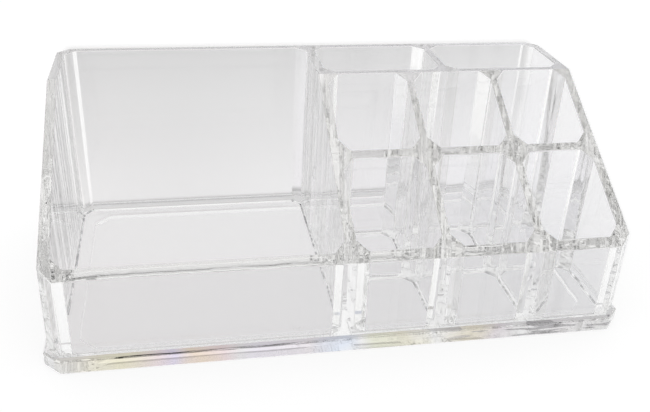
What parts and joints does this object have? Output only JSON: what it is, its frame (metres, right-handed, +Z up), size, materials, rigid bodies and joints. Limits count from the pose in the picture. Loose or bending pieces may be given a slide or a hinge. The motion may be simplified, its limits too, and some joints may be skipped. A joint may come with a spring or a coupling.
{
  "type": "vanity organizer",
  "caption": "Clear desktop organizer with one large tray beside stepped rows of bins, sloping down to a low front wall on a bevelled foot, for holding cosmetics.",
  "frame": {"origin": "centre of the foot's outline, on the table plane that the foot rests on", "axes": "+X to the right seen from the front, with the tray on the left and the bins on the right; +Y to the tall back; +Z up"},
  "size_m": [0.2278, 0.1222, 0.0836],
  "materials": {
    "clear_plastic": "clear colourless moulded plastic, polished, see-through"
  },
  "bodies": {
    "root": {"base_plate": "clear_plastic", "back_wall": "clear_plastic", "front_wall": "clear_plastic", "left_end_wall": "clear_plastic", "right_end_wall": "clear_plastic", "main_partition": "clear_plastic", "rear_cross_wall": "clear_plastic", "front_cross_wall": "clear_plastic", "rear_divider": "clear_plastic", "middle_left_divider": "clear_plastic", "middle_right_divider": "clear_plastic", "front_left_divider": "clear_plastic", "front_right_divider": "clear_plastic"}
  },
  "joints": []
}
